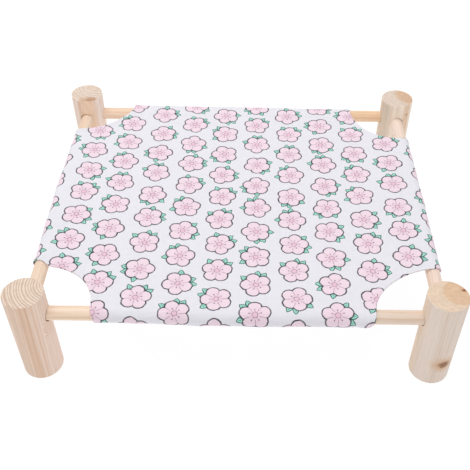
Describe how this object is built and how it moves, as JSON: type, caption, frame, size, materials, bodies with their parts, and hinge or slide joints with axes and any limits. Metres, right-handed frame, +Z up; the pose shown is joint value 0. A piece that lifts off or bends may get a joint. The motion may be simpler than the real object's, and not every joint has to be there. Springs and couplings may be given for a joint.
{
  "type": "cat hammock",
  "caption": "Low pet hammock: a printed cotton sling with a sleeve on each side, stretched between round wooden rails that push into sockets in round wooden posts.",
  "frame": {"origin": "on the floor, midway between the posts", "axes": "+X along the long rails towards the right end, +Y along the short rails towards the rear, +Z up"},
  "size_m": [0.462, 0.402, 0.115],
  "materials": {
    "post_wood": "peeled and sanded, bare",
    "rail_wood": "planed dowel, bare",
    "sling_cloth": "printed plain weave cotton"
  },
  "bodies": {
    "left_end": {"front_left_post": "post_wood", "rear_left_post": "post_wood", "sling_panel": "sling_cloth", "left_sleeve": "sling_cloth", "front_left_sleeve": "sling_cloth", "front_right_sleeve": "sling_cloth", "rear_left_sleeve": "sling_cloth", "rear_right_sleeve": "sling_cloth"},
    "right_end": {"front_right_post": "post_wood", "rear_right_post": "post_wood", "right_sleeve": "sling_cloth"},
    "front_dowel": {"front_rail": "rail_wood"},
    "rear_dowel": {"rear_rail": "rail_wood"},
    "left_dowel": {"left_rail": "rail_wood"},
    "right_dowel": {"right_rail": "rail_wood"}
  },
  "joints": [
    {"name": "right_end_pull", "type": "slide", "parent": "left_end", "child": "right_end", "axis": [1, 0, 0], "range_m": [0, 0.011]},
    {"name": "front_rail_turn", "type": "hinge", "parent": "left_end", "child": "front_dowel", "pos_m": [0, -0.18, 0.084], "axis": [1, 0, 0], "continuous": true},
    {"name": "rear_rail_turn", "type": "hinge", "parent": "left_end", "child": "rear_dowel", "pos_m": [0, 0.18, 0.084], "axis": [1, 0, 0], "continuous": true},
    {"name": "left_rail_turn", "type": "hinge", "parent": "left_end", "child": "left_dowel", "pos_m": [-0.21, 0, 0.087], "axis": [0, 1, 0], "continuous": true},
    {"name": "right_rail_turn", "type": "hinge", "parent": "right_end", "child": "right_dowel", "pos_m": [0.21, 0, 0.087], "axis": [0, 1, 0], "continuous": true}
  ]
}
